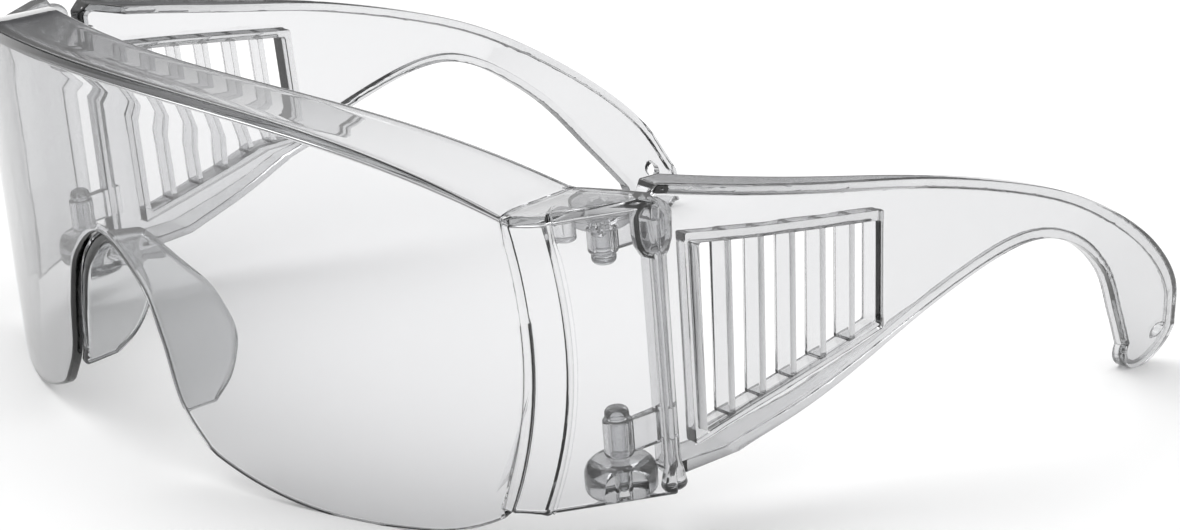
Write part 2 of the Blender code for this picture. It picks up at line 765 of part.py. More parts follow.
def centre_footprint(stand, frame, pieces):
    """Slides the assembly along Y until its origin is under the middle of it."""
    depths = []
    for piece in pieces:
        placed = frame @ Matrix.Translation(piece.location)
        depths += [(placed @ vertex.co).y for vertex in piece.data.vertices]
    stand.location.y = -(min(depths) + max(depths)) / 2


def main():
    clear_scene()
    home = collection(OBJECT)
    cutters = collection(CUTTERS, hidden=True)
    shell_plastic = clear_plastic("moulded_clear_polycarbonate", (0.95, 0.96, 0.97), 0.03)
    saddle_plastic = clear_plastic("moulded_clear_nosepiece", (0.90, 0.91, 0.92), 0.12)
    pin_plastic = clear_plastic("moulded_clear_pin", (0.93, 0.94, 0.95), 0.05)

    stand = bpy.data.objects.new("assembly", None)
    home.objects.link(stand)
    tilt, lift = rest_frame()
    stand.rotation_euler.x = tilt
    stand.location.z = lift
    frame = Matrix.Translation((0, 0, lift)) @ Matrix.Rotation(tilt, 4, "X")

    pieces = [front_shield(home, cutters, shell_plastic)]
    pieces.append(nose_saddle(home, cutters, saddle_plastic))
    for name, side in (("left", 1), ("right", -1)):
        pieces.append(temple(name + "_temple", side, home, cutters, shell_plastic))
        pieces += hinge_pins(name, side, home, pin_plastic)
    for piece in pieces:
        trim_to_floor(piece, frame)
        piece.parent = stand
        piece.data.shade_smooth()
        piece.data.set_sharp_from_angle(angle=math.radians(35))
    centre_footprint(stand, frame, pieces)


main()
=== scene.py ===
"""The looks of a pair of water-clear over-spectacles: shield, nosepiece and two folding arms.

Sizes are in millimetres in the shield's own upright frame, with +X to the wearer's left and -Y
to the front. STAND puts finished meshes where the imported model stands.
"""

import json
import math

import bmesh
import bpy
from mathutils import Matrix, Vector


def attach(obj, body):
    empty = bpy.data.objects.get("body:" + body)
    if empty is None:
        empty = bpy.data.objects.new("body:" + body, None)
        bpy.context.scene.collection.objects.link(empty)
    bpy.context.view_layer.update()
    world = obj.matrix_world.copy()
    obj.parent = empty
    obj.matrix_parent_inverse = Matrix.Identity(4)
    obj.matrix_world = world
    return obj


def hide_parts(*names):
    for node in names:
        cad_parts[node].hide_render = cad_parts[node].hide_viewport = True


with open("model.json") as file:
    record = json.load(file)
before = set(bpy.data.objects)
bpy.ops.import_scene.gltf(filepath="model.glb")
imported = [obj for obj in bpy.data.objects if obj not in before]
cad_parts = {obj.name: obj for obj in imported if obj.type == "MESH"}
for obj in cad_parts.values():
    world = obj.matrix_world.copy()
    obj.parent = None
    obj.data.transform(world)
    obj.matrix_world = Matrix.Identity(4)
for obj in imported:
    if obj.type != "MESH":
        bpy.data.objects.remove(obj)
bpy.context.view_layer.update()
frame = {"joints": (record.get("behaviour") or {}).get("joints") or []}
MM = 0.001

# Shield, seen from above
LENS_HALF = 70.5
LENS_NOSE_Y = -43.0
LENS_BULGE = 24.0
WALL = 1.9
BAND_AT = 72.2  # the line where the lens meets its side band, at mid height
BAND_STEP = 0.45  # the band stands this much proud of the lens and of the wing
BAND_RAMP = 0.35  # the step up from the lens takes this much width
CORNER = Vector((76.3, -14.9))  # the line where the band turns into the wing, at mid height
CORNER_ROUND = 1.7
WING_END = Vector((82.3, -0.9))
BOW_MIDDLE = 10.0  # both lines bow outward, most of all at this height
BOW_LOW = 0.0059
BOW_HIGH = 0.0046
BOW_SLOPE = 0.73

# Shield, seen from the front
WING_TOP = 28.9
WING_BOTTOM = -17.0
BROW_SLOPE = 0.95
BROW_EASE = 0.0125
CHEEK_DROP = 4.4
CHEEK_INNER = 50.0
CHEEK_INNER_RISE = 7.2
CHEEK_OUTER = 56.0
CHEEK_TURN = 13.0
SHELF_DEPTH = 12.8
SHELF_FALL = 2.3
SHELF_SPREAD = 1.006  # the shelf's rear edge is this much wider than its front edge
SHELF_CORNER = Vector((5.2, 2.0))  # its rear corner stands this far in and forward of the wing's end
EDGE_ROUND = 0.5
EDGE_ANGLE = 60  # only edges sharper than this are rounded, so the band's steps stay crisp
MOST_MITRE = 1.45  # the wall is at most this much thicker across its folds
BEAD_AT = Vector((81.3, -0.4))
BEAD_RADIUS = 1.3
BEAD_SWELL = ((0.0, -12.0), (-0.05, 0.0), (0.0, 12.0), (0.05, 20.6), (0.55, 21.6), (1.05, 23.4))
BEAD_CAP = (0.35, 27.0, 2.2)  # where the cap's round is centred, and its radius
BEAD_CREST = 29.25
HOOD_AT = Vector((80.9, -1.1))
HOOD_SIDE = ((0, 20.9), (1.0, 20.8), (2.1, 21.4), (2.9, 22.9), (3.1, 24.6), (3.1, 26.4))
HOOD_CAP = (0.6, 27.0, 2.5)
HOOD_CREST = 29.5
SHELF_BOSSES = ((73.4, -11.2, 1.7, 24.6), (77.6, -8.4, 1.1, 25.4))  # X, Y, radius, lower end
BOSS_ROUND = 0.5
ARCH = [Vector(p) for p in ((0, 18.3), (8.8, 12.0), (12.6, 3.0), (15.2, -7.0), (20.5, -14.2))]

# Nosepiece
PAD_WALL = 1.9
PAD_FORWARD = 0.7
PAD_SPLAY = 0.08
PAD_LOW = -9.0
PAD_DEPTHS = ((-9.0, 4.6), (-6.0, 9.4), (-2.0, 12.0), (1.5, 12.7), (7.0, 11.6), (13.0, 9.2), (18.3, 7.2))

# Hinges
HINGE = Vector((74.6, -5.2, 5.0))  # the point on its axis that the left joint names
EAR_RADIUS = 5.6
EAR_HEIGHT = 5.2
TOP_EAR_RADIUS = 4.4
TOP_EAR_LOW = 25.8
KNUCKLE_RADIUS = 2.3
TOP_KNUCKLE = 4.2
BOTTOM_KNUCKLE = 6.0
PIN_RADIUS = 1.1
PIN_HEAD = 1.9
PIN_HEAD_HEIGHT = 1.5
GAP = 0.3
EAR_FOOT_ROUND = 0.9
EAR_SHOULDER_ROUND = 2.6
EAR_PROUD = 0.25  # the lower ear's foot stands this far below the wing
TOP_EAR_ROUND = 0.6
BARREL_ROUND = 0.4
BORE_CHAMFER = 0.2
PIN_DOME = 0.9  # rounding of a pin head's crown
PIN_NECK = 0.3  # rounding of the head's edge next to the barrel, and of the lower pin's foot
PIN_POINT = 0.4

# Arms, seen from the side in (Y, Z), and how they bend in plan
ARM_FRONT = 1.15
ARM_TOP = 30.0
ARM_BOTTOM = -18.2
ARM_FACE = 80.4
ARM_ROUND = 0.35
ARM_CORNER = 2.0  # how far back the panel's front corners are eased
LIP_DEPTH = 8.0
LIP_END_DEPTH = 3.0
LIP_THICKNESS = 1.6
LIP_START = 5.0
LIP_FULL = 14.0
LIP_TAPER = 62.0
TUCK = 3.0
TUCK_END = 47.0
LEAN = 0.06
LEAN_START = -2.0
LEAN_FULL = 22.0
HOOK_START = 88.0
HOOK_FULL = 104.0
HOOK_SOFT = 16.0
HOOK_LEAN = 0.31
TIP_AT = Vector((127.5, -39.5))
TIP_RADIUS = 6.9
LANYARD_AT = Vector((129.2, -38.8))
LANYARD_HOLE = 1.4
ARM_LOW_EDGE = ((16, -18.2), (34, -14.8), (60, -7.2), (80, -4), (93, -7.6), (106, -18.2), (115, -31))
ARM_HIGH_EDGE = ((129.5, -28), (118.5, -16.2), (103, -4.6), (86, 4.6), (60, 14.2), (30, 22.4))

# Vent window of each arm
VENT_FRONT = 9.8
VENT_REAR = 46.5
VENT_TOPS = (18.7, 11.2)
VENT_BOTTOMS = (-12.6, -6.7)
VENT_RIM = 1.5
VENT_SLOTS = 6
RIB_WIDTH = 1.4
RIB_DEPTH = 4.4
RIB_INTO_FRAME = 0.35  # each rib's ends run this far into the window's frame
RIB_SET_IN = 0.7  # from the panel's outer face in to the ribs
RIB_SHORT = 0.8  # the ribs are this much shallower than the frame
RIB_ROUND = 0.25

# Nosepiece's edge towards the face: it splays over the pads and dips over the bridge
PAD_TOP = 12.0
PAD_SPAN = 21.0
BRIDGE_DIP = -0.22
BRIDGE_FROM = 8
BRIDGE_FULL = 18
PAD_ROUND = 0.7

# Clear plastic
POLYCARBONATE_IOR = 1.585
PAINTED_EDGE_SHADE_BLEND = 0.28  # how soon the painted edge shade darkens a face as it turns away from the camera
HAZE_SCALE = 6.0
SMOKE_GREY = "#8f9294"

# Studio
FLOOR_SIZE = 8.0  # metres
DOME_STRENGTH = 1.08
HORIZON_GREY = (0.12, 0.12, 0.125, 1)
SOFTBOX_SIZE = (0.9, 0.5)
SOFTBOX_AT = (-0.35, -0.25, 0.85)
SOFTBOX_WATTS = 2.6

# Camera, in the shield's own frame
CAMERA_AT = Vector((397.5, -275.7, 188.2))
CAMERA_YAW = math.radians(50.31)
CAMERA_DOWN = math.radians(21.88)
CAMERA_ROLL = math.radians(-4.69)
FOCAL_LENGTH = 94.35
SENSOR_WIDTH = 36.0

FOLD = next(j for j in frame["joints"] if j["name"] == "left_fold")
TILT = math.atan2(-FOLD["axis"][1], FOLD["axis"][2])
TIPPED = Matrix.Rotation(TILT, 4, "X")
STAND = Matrix.Translation(FOLD["pos_m"]) @ TIPPED @ Matrix.Scale(MM, 4) @ Matrix.Translation(-HINGE)


# ------------------------------------------------------------------ meshes


def new_object(name, mesh):
    made = bpy.data.objects.new(name, mesh)
    bpy.context.scene.collection.objects.link(made)
    return made


def from_bmesh(name, bm):
    mesh = bpy.data.meshes.new(name)
    bm.to_mesh(mesh)
    bm.free()
    return new_object(name, mesh)


def face_outward(bm):
    bmesh.ops.recalc_face_normals(bm, faces=bm.faces)
    if bm.calc_volume(signed=True) < 0:
        bmesh.ops.reverse_faces(bm, faces=bm.faces)


def grid(name, rows):
    """An open sheet through rows of points."""
    bm = bmesh.new()
    made = [[bm.verts.new(p) for p in row] for row in rows]
    for a, b in zip(made, made[1:]):
        for i in range(len(a) - 1):
            bm.faces.new((a[i], a[i + 1], b[i + 1], b[i]))
    return from_bmesh(name, bm)


def prism(name, outline, low, high, axes="yz"):
    """A flat outline, extruded between low and high along the third axis."""
    place = {"xy": lambda p, w: (p[0], p[1], w), "yz": lambda p, w: (w, p[0], p[1])}[axes]
    bm = bmesh.new()
    ends = [[bm.verts.new(place(p, w)) for p in outline] for w in (low, high)]
    bm.faces.new(ends[0])
    bm.faces.new(ends[1])
    count = len(outline)
    for i in range(count):
        j = (i + 1) % count
        bm.faces.new((ends[0][i], ends[0][j], ends[1][j], ends[1][i]))
    face_outward(bm)
    return from_bmesh(name, bm)


def turned(name, profile, centre, segments=40):
    """A body turned about an upright axis, from a profile of (radius, height). A profile that
    starts off the axis closes on itself, as a ring."""
    bm = bmesh.new()
    rings = []
    for radius, height in profile:
        if radius < 1e-6:
            rings.append([bm.verts.new((centre[0], centre[1], height))] * segments)
            continue
        ring = []
        for i in range(segments):
            angle = 2 * math.pi * i / segments
            x = centre[0] + radius * math.cos(angle)
            y = centre[1] + radius * math.sin(angle)
            ring.append(bm.verts.new((x, y, height)))
        rings.append(ring)
    if profile[0][0] > 1e-6:
        rings.append(rings[0])
    for a, b in zip(rings, rings[1:]):
        for i in range(segments):
            j = (i + 1) % segments
            corners = list(dict.fromkeys((a[i], a[j], b[j], b[i])))
            if len(corners) > 2:
                bm.faces.new(corners)
    face_outward(bm)
    return from_bmesh(name, bm)


def arc(centre, radius, start, end, steps=6):
    """Points of a profile's rounded corner, angles in degrees."""
    angles = [math.radians(start + (end - start) * i / steps) for i in range(steps + 1)]
    return [(centre[0] + radius * math.cos(a), centre[1] + radius * math.sin(a)) for a in angles]


def settle(obj):
    """Makes obj's mesh what its modifiers make of it, and takes them off."""
    bpy.context.view_layer.update()
    evaluated = obj.evaluated_get(bpy.context.evaluated_depsgraph_get())
    mesh = bpy.data.meshes.new_from_object(evaluated)
    obj.modifiers.clear()
    spent = obj.data
    obj.data = mesh
    bpy.data.meshes.remove(spent)
    return obj


def modify(obj, kind, **settings):
    made = obj.modifiers.new(kind.lower(), kind)
    for key, value in settings.items():
        setattr(made, key, value)
    return obj


def combine(body, other, operation):
    modify(body, "BOOLEAN", operation=operation, object=other, solver="EXACT")
    settle(body)
    bpy.data.objects.remove(other)
    return body


def round_edges(obj, width, segments=3, angle=40):
    modify(
        obj,
        "BEVEL",
        width=width,
        segments=segments,
        limit_method="ANGLE",
        angle_limit=math.radians(angle),
        use_clamp_overlap=False,
        miter_outer="MITER_ARC",
    )
    return settle(obj)


def mirrored(obj, side):
    """The same piece for the wearer's right, where side is -1."""
    if side < 0:
        obj.data.transform(Matrix.Scale(-1, 4, (1, 0, 0)))
        obj.data.flip_normals()
    return obj


def finish_piece(obj, name, material, body, nodes=(), smooth=35):
    """Stands a piece where it belongs, shades it, gives it its material and body, and hides the imported
    parts that it stands in for.
    """
    obj.name = name
    obj.data.name = name
    bm = bmesh.new()
    bm.from_mesh(obj.data)
    bmesh.ops.remove_doubles(bm, verts=bm.verts, dist=0.002)
    bmesh.ops.dissolve_degenerate(bm, edges=bm.edges, dist=0.002)
    bm.to_mesh(obj.data)
    bm.free()
    obj.data.transform(STAND)
    obj.data.shade_smooth()
    obj.data.set_sharp_from_angle(angle=math.radians(smooth))
    obj.data.materials.clear()
    obj.data.materials.append(material)
    modify(obj, "WEIGHTED_NORMAL", mode="FACE_AREA", weight=80, keep_sharp=True)
    settle(obj)
    for node in nodes:
        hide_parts(node)
    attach(obj, body)


def spline(points, steps=8):
    """A smooth line through the points: a Catmull-Rom curve."""
    line = []
    for i in range(len(points) - 1):
        b, c = points[i], points[i + 1]
        a = points[i - 1] if i else b + (b - c)
        d = points[i + 2] if i + 2 < len(points) else c + (c - b)
        for k in range(steps):
            t = k / steps
            bend = (2 * a - 5 * b + 4 * c - d) * t**2 + (3 * b - a - 3 * c + d) * t**3
            line.append(0.5 * (2 * b + (c - a) * t + bend))
    return line + [points[-1]]


def inset(outline, distance):
    """The closed outline, moved inward. It runs anticlockwise."""
    moved = []
    for i, point in enumerate(outline):
        before = (point - outline[i - 1]).normalized()
        after = (outline[(i + 1) % len(outline)] - point).normalized()
        normal = Vector((-before.y - after.y, before.x + after.x)).normalized()
        square = Vector((-before.y, before.x))
        moved.append(point + normal * distance / max(normal.dot(square), 0.5))
    return moved


def along(line, share):
    """The point at this share of a line's length."""
    lengths = [0.0]
    for a, b in zip(line, line[1:]):
        lengths.append(lengths[-1] + (b - a).length)
    target = share * lengths[-1]
    for i in range(len(line) - 1):
        if target <= lengths[i + 1] or i == len(line) - 2:
            span = lengths[i + 1] - lengths[i]
            return line[i].lerp(line[i + 1], (target - lengths[i]) / span if span else 0.0)


def smooth_step(value, start, end):
    t = min(1.0, max(0.0, (value - start) / (end - start)))
    return t * t * (3 - 2 * t)


# ------------------------------------------------------------------ materials


def linear(code):
    """An sRGB hex colour as linear RGBA."""
    values = [int(code[i : i + 2], 16) / 255 for i in (1, 3, 5)]
    return (*[v / 12.92 if v <= 0.04045 else ((v + 0.055) / 1.055) ** 2.4 for v in values], 1.0)


def add_node(tree, kind, inputs=None, **settings):
    """Adds a node. Inputs go by name and are either a value or another node's output."""
    node = tree.nodes.new(kind)
    for key, value in settings.items():
        setattr(node, key, value)
    for key, value in (inputs or {}).items():
        if isinstance(value, bpy.types.NodeSocket):
            tree.links.new(value, node.inputs[key])
        else:
            node.inputs[key].default_value = value
    return node


def polycarbonate(name, face, edge, ripple, depth, haze, smoke):
    """Moulded water-clear polycarbonate. It bends light strongly, so edges and lips draw dark
    lines and small bright glints, and its base colour is also painted darker as a face turns
    away from the camera: painted shade at edges and silhouettes. Long light paths inside it
    turn grey. The mould leaves long shallow ripples and a trace of haze, which no polished
    glass has."""
    material = bpy.data.materials.new(name)
    material.use_nodes = True
    tree = material.node_tree
    tree.nodes.clear()
    place = add_node(tree, "ShaderNodeTexCoord").outputs["Object"]
    waves = add_node(
        tree,
        "ShaderNodeTexNoise",
        {"Vector": place, "Scale": 1 / (ripple * MM), "Detail": 1.5, "Roughness": 0.4},
    )
    bump = add_node(
        tree,
        "ShaderNodeBump",
        {"Height": waves.outputs["Fac"], "Strength": 1.0, "Distance": depth * MM},
    )
    wipes = add_node(
        tree,
        "ShaderNodeTexNoise",
        {"Vector": place, "Scale": 1 / (HAZE_SCALE * MM), "Detail": 3.0, "Roughness": 0.6},
    )
    dull = add_node(
        tree,
        "ShaderNodeMapRange",
        {
            "Value": wipes.outputs["Fac"],
            "From Min": 0.35,
            "From Max": 0.75,
            "To Min": 0.0,
            "To Max": haze,
        },
    )
    # Painted shade: the base colour runs from the face colour to the darker edge colour as the surface
    # turns away from the camera, darkening edges and silhouettes.
    facing = add_node(tree, "ShaderNodeLayerWeight", {"Blend": PAINTED_EDGE_SHADE_BLEND})
    ramp = add_node(tree, "ShaderNodeValToRGB", {"Fac": facing.outputs["Facing"]})
    ramp.color_ramp.interpolation = "EASE"
    stops = ramp.color_ramp.elements
    stops[0].position = 0.0
    stops[0].color = linear(face)
    stops[1].position = 1.0
    stops[1].color = linear(edge)
    shader = add_node(
        tree,
        "ShaderNodeBsdfPrincipled",
        {
            "Base Color": ramp.outputs["Color"],
            "Roughness": dull.outputs["Result"],
            "IOR": POLYCARBONATE_IOR,
            "Transmission Weight": 1.0,
            "Normal": bump.outputs["Normal"],
        },
    )
    inside = add_node(
        tree, "ShaderNodeVolumeAbsorption", {"Color": linear(SMOKE_GREY), "Density": smoke}
    )
    add_node(
        tree,
        "ShaderNodeOutputMaterial",
        {"Surface": shader.outputs["BSDF"], "Volume": inside.outputs["Volume"]},
    )
    return material


def painted_floor():
    """Matt white studio sweep: sprayed board, with a faint fine tooth."""
    material = bpy.data.materials.new("matt_white_board")
    material.use_nodes = True
    tree = material.node_tree
    tree.nodes.clear()
    place = add_node(tree, "ShaderNodeTexCoord").outputs["Object"]
    tooth = add_node(tree, "ShaderNodeTexNoise", {"Vector": place, "Scale": 400.0, "Detail": 2.0})
    bump = add_node(
        tree, "ShaderNodeBump", {"Height": tooth.outputs["Fac"], "Strength": 0.05, "Distance": 0.0001}
    )
    shader = add_node(
        tree,
        "ShaderNodeBsdfPrincipled",
        {"Base Color": linear("#fbfbfb"), "Roughness": 0.9, "Normal": bump.outputs["Normal"]},
    )
    shader.inputs["Specular IOR Level"].default_value = 0.0
    add_node(tree, "ShaderNodeOutputMaterial", {"Surface": shader.outputs["BSDF"]})
    return material


# The second colour of each is painted shade, which the base colour takes on as a face turns away from
# the camera.
SHIELD_CLEAR = polycarbonate("polished_polycarbonate_shield", "#f3f3f4", "#56585b", 26, 0.008, 0.03, 80)
ARM_CLEAR = polycarbonate("moulded_polycarbonate_arms", "#f3f3f4", "#56585b", 14, 0.007, 0.05, 85)
PAD_CLEAR = polycarbonate("soft_clear_nosepiece", "#e6e7e8", "#44474a", 9, 0.010, 0.10, 110)
PIN_CLEAR = polycarbonate("clear_hinge_pins", "#ecedee", "#5b5d60", 4, 0.006, 0.06, 90)


# ------------------------------------------------------------------ shield


def lens_y(x):
    return LENS_NOSE_Y + LENS_BULGE * (x / LENS_HALF) ** 2


def brow_z(y):
    forward = max(0.0, lens_y(LENS_HALF) - y)
    return WING_TOP + BROW_SLOPE * forward - BROW_EASE * forward**2


def cheek_z(x):
    if x < CHEEK_INNER:
        rise = CHEEK_INNER_RISE * ((CHEEK_INNER - x) / (CHEEK_INNER - ARCH[-1].x)) ** 2
    elif x > CHEEK_OUTER:
        rise = CHEEK_DROP * min(1.0, ((x - CHEEK_OUTER) / CHEEK_TURN) ** 2)
    else:
        rise = 0.0
    return WING_BOTTOM - CHEEK_DROP + rise


def bow(z):
    """How far the band's two lines have drawn in at this height."""
    return (BOW_LOW if z < BOW_MIDDLE else BOW_HIGH) * (z - BOW_MIDDLE) ** 2


def lens_line(z):
    x = BAND_AT - bow(z)
    return Vector((x, lens_y(x)))


def corner_line(z):
    return CORNER - bow(z) * Vector((1.0, BOW_SLOPE))


def lower_edge():
    """The lens's lower edge from the middle of the nose to the band, in (X, Z)."""
    arch = spline([Vector((-ARCH[1].x, ARCH[1].y))] + ARCH, 10)[10:]
    reach = lens_line(WING_BOTTOM).x
    start = ARCH[-1].x
    cheek = [Vector((x, cheek_z(x))) for x in (start + (reach - start) * i / 40 for i in range(1, 41))]
    return arch + cheek


def outward(a, b):
    """The direction that faces away from the head, square to the line from a to b."""
    along_line = (b - a).normalized()
    return Vector((along_line.y, -along_line.x))


def side_plan(z):
    """The band, corner and wing at one height: points from the lens's line to the wing's end."""
    line, corner = lens_line(z), corner_line(z)
    run = (corner - line).normalized()
    turn = (WING_END - corner).normalized()
    proud = outward(line, corner) * BAND_STEP
    into, away = corner - run * CORNER_ROUND, corner + turn * CORNER_ROUND
    points = [line + run * BAND_RAMP + proud]
    points += [line.lerp(into, i / 4) + proud for i in range(1, 5)]
    for i in range(1, 8):
        t = i / 8
        bend = (1 - t) ** 2 * into + 2 * t * (1 - t) * corner + t**2 * away
        points.append(bend + proud if i < 5 else bend)
    points += [away.lerp(WING_END, i / 6) for i in range(7)]
    return points


def shield_columns(lens_steps=52, rows=18, shelf_rows=6):
    """Columns of points for one half of the shield, each from its lower edge up the outer face
    and back along the brow shelf."""
    edge = lower_edge()
    top_reach = lens_line(WING_TOP).x
    columns = []
    for i in range(lens_steps + 1):
        share = i / lens_steps
        low = along(edge, share)
        x_top = share * top_reach
        z_top = brow_z(lens_y(x_top))
        column = []
        for j in range(rows + 1):
            t = j / rows
            z = low.y + (z_top - low.y) * t
            straight = lens_line(low.y).x * (1 - t) + lens_line(z_top).x * t
            x = low.x * (1 - t) + x_top * t + (lens_line(z).x - straight) * share**6
            column.append(Vector((x, lens_y(x), z)))
        front = column[-1]
        fall = SHELF_FALL * (1 - (x_top / top_reach) ** 2)
        for j in range(1, shelf_rows + 1):
            t = j / shelf_rows
            back = Vector((x_top * SHELF_SPREAD, front.y + SHELF_DEPTH, z_top - fall))
            column.append(front.lerp(back, t))
        columns.append(column)
    shelf_end = columns[-1][-1].copy()
    wing_corner = Vector((*(WING_END - SHELF_CORNER), WING_TOP))
    heights = [WING_BOTTOM + (WING_TOP - WING_BOTTOM) * j / rows for j in range(rows + 1)]
    plans = [side_plan(z) for z in heights]
    count = len(plans[0])
    for i in range(count):
        column = [Vector((*plan[i], z)) for plan, z in zip(plans, heights)]
        front = column[-1]
        back = shelf_end.lerp(wing_corner, (i + 1) / count)
        for j in range(1, shelf_rows + 1):
            column.append(front.lerp(back, j / shelf_rows))
        columns.append(column)
    return columns


def shield_sheet():
    """The whole shield's wall, both halves, with its edges rounded."""
    half = shield_columns()
    other = [[Vector((-p.x, p.y, p.z)) for p in column] for column in reversed(half[1:])]
    sheet = grid("shield", other + half)
    modify(sheet, "SOLIDIFY", thickness=WALL, offset=-1.0, use_even_offset=True)
    settle(sheet)
    bm = bmesh.new()
    bm.from_mesh(sheet.data)
    bm.verts.ensure_lookup_table()
    count = len(bm.verts) // 2
    for outer, inner in zip(bm.verts[:count], bm.verts[count:]):
        through = inner.co - outer.co
        if through.length > MOST_MITRE * WALL:
            inner.co = outer.co + through.normalized() * MOST_MITRE * WALL
    bmesh.ops.remove_doubles(bm, verts=bm.verts, dist=0.01)
    face_outward(bm)
    bm.to_mesh(sheet.data)
    bm.free()
    return round_edges(sheet, EDGE_ROUND, 3, EDGE_ANGLE)


def lower_ear(side):
    """The round boss that the lower barrel stands on, bored for its pin."""
    bore = PIN_RADIUS + GAP
    top = WING_BOTTOM + EAR_HEIGHT
    foot = WING_BOTTOM - EAR_PROUD
    profile = [(bore, foot)]
    profile += arc((EAR_RADIUS - EAR_FOOT_ROUND, foot + EAR_FOOT_ROUND), EAR_FOOT_ROUND, -90, 0)
    shoulder = (EAR_RADIUS - EAR_SHOULDER_ROUND, top - EAR_SHOULDER_ROUND)
    profile += arc(shoulder, EAR_SHOULDER_ROUND, 0, 78, 8)
    profile += [(bore + 0.5, top + 0.02), (bore, top - 0.4)]
    return turned("lower_ear", profile, (side * HINGE.x, HINGE.y), 48)


def upper_ear(side):
    """The boss under the shelf that holds the upper pin."""
    bore = PIN_RADIUS + GAP
    ceiling = WING_TOP - 0.5 * WALL
    profile = [(bore, TOP_EAR_LOW + 0.3), (bore + 0.3, TOP_EAR_LOW)]
    corner = (TOP_EAR_RADIUS - TOP_EAR_ROUND, TOP_EAR_LOW + TOP_EAR_ROUND)
    profile += arc(corner, TOP_EAR_ROUND, -90, 0)
    profile += [(TOP_EAR_RADIUS, ceiling), (bore, ceiling)]
    return turned("upper_ear", profile, (side * HINGE.x, HINGE.y), 40)


def shelf_boss(side, x, y, radius, low):
    """A small moulded stud that hangs under the shelf beside the hinge."""
    ceiling = WING_TOP - 0.6 * WALL
    profile = [(0, low)]
    profile += arc((radius - BOSS_ROUND, low + BOSS_ROUND), BOSS_ROUND, -90, 0, 4)
    profile += [(radius, ceiling), (0, ceiling)]
    return turned("shelf_boss", profile, (side * x, y), 28)


def hood(side):
    """The rounded cap over the bead's top, ending below in a blunt drip."""
    profile = list(HOOD_SIDE)
    profile += arc(HOOD_CAP[:2], HOOD_CAP[2], 0, 84, 9)
    profile += [(0, HOOD_CREST)]
    return turned("hood", profile, (side * HOOD_AT.x, HOOD_AT.y), 36)


def wing_bead(side):
    """The round bead down the wing's rear edge, which swells towards its top."""
    profile = [(0, WING_BOTTOM - 0.1)]
    profile += arc((BEAD_RADIUS - 0.2, WING_BOTTOM + 0.9), 1.0, -80, 0)
    profile += [(BEAD_RADIUS + swell, height) for swell, height in BEAD_SWELL]
    profile += arc(BEAD_CAP[:2], BEAD_CAP[2], 0, 88, 9)
    profile += [(0, BEAD_CREST)]
    return turned("wing_bead", profile, (side * BEAD_AT.x, BEAD_AT.y), 32)


def make_shield():
    shield = shield_sheet()
    for side in (1, -1):
        combine(shield, wing_bead(side), "UNION")
        combine(shield, hood(side), "UNION")
        combine(shield, lower_ear(side), "UNION")
        combine(shield, upper_ear(side), "UNION")
        for boss in SHELF_BOSSES:
            combine(shield, shelf_boss(side, *boss), "UNION")
    finish_piece(shield, "clear_shield", SHIELD_CLEAR, "front", ["front_shield"])


# ------------------------------------------------------------------ nosepiece


def pad_depth(z):
    heights = [Vector(p) for p in PAD_DEPTHS]
    if z >= heights[-1].x:
        return heights[-1].y
    line = spline(heights, 8)
    for a, b in zip(line, line[1:]):
        if z <= b.x:
            return a.y + (b.y - a.y) * (max(z, a.x) - a.x) / (b.x - a.x)
    return line[-1].y


def make_nosepiece(columns=72, rows=12):
    """The saddle over the nose: a curved lining of the cut-out that opens back into two pads."""
    arch = spline([Vector((-ARCH[1].x, ARCH[1].y))] + ARCH, 12)[12:]
    inner = []
    for i, point in enumerate(arch):
        run = arch[min(i + 1, len(arch) - 1)] - arch[max(i - 1, 0)]
        normal = Vector((run.y, -run.x)).normalized()
        inner.append(point + normal * (GAP if normal.y < 0 else -GAP))
    line = [p for p in inner if p.y > PAD_LOW]
    line[0].x = 0.0
    rows_made = []
    for i in range(-columns // 2, columns // 2 + 1):
        point = along(line, abs(i) / (columns // 2))
        x = math.copysign(point.x, i)
        depth = pad_depth(point.y)
        row = []
        for j in range(rows + 1):
            back = -PAD_FORWARD + (depth + PAD_FORWARD) * j / rows
            drop = min(1.0, max(0.0, (PAD_TOP - point.y) / PAD_SPAN))
            splay = PAD_SPLAY * max(0.0, back - WALL) * drop
            dip = BRIDGE_DIP * smooth_step(point.y, BRIDGE_FROM, BRIDGE_FULL)
            lift = dip * max(0.0, back - WALL) * (1 - drop)
            y = lens_y(x) + back
            row.append(Vector((x + math.copysign(splay, x), y, point.y + lift)))
        rows_made.append(row)
    pad = grid("nosepiece", rows_made)
    modify(pad, "SOLIDIFY", thickness=PAD_WALL, offset=1.0, use_even_offset=True)
    settle(pad)
    bm = bmesh.new()
    bm.from_mesh(pad.data)
    face_outward(bm)
    bm.to_mesh(pad.data)
    bm.free()
    round_edges(pad, PAD_ROUND, 4, 50)
    finish_piece(pad, "clear_nosepiece", PAD_CLEAR, "front", ["nose_saddle"])


# ------------------------------------------------------------------ arms


def arm_outline():
    """Side view of an arm, in (Y, Z), anticlockwise from the front bottom."""
    low = [Vector(p) for p in ARM_LOW_EDGE] + [TIP_AT - Vector((TIP_RADIUS, 0))]
    high = [TIP_AT + Vector((TIP_RADIUS, 0))] + [Vector(p) for p in ARM_HIGH_EDGE]
    high += [Vector((ARM_FRONT + ARM_CORNER, ARM_TOP))]
    tip = [
        TIP_AT + TIP_RADIUS * Vector((math.cos(a), math.sin(a)))
        for a in (math.pi * (1 + i / 18) for i in range(1, 18))
    ]
    start = [Vector((ARM_FRONT, ARM_BOTTOM + 2.5)), Vector((ARM_FRONT + ARM_CORNER, ARM_BOTTOM + 0.5))]
    return start + spline(low, 8) + tip + spline(high, 8) + [Vector((ARM_FRONT, ARM_TOP - 1.6))]


def vent_edge(y, ends, margin):
    share = (y - VENT_FRONT) / (VENT_REAR - VENT_FRONT)
    return ends[0] + (ends[1] - ends[0]) * share + margin


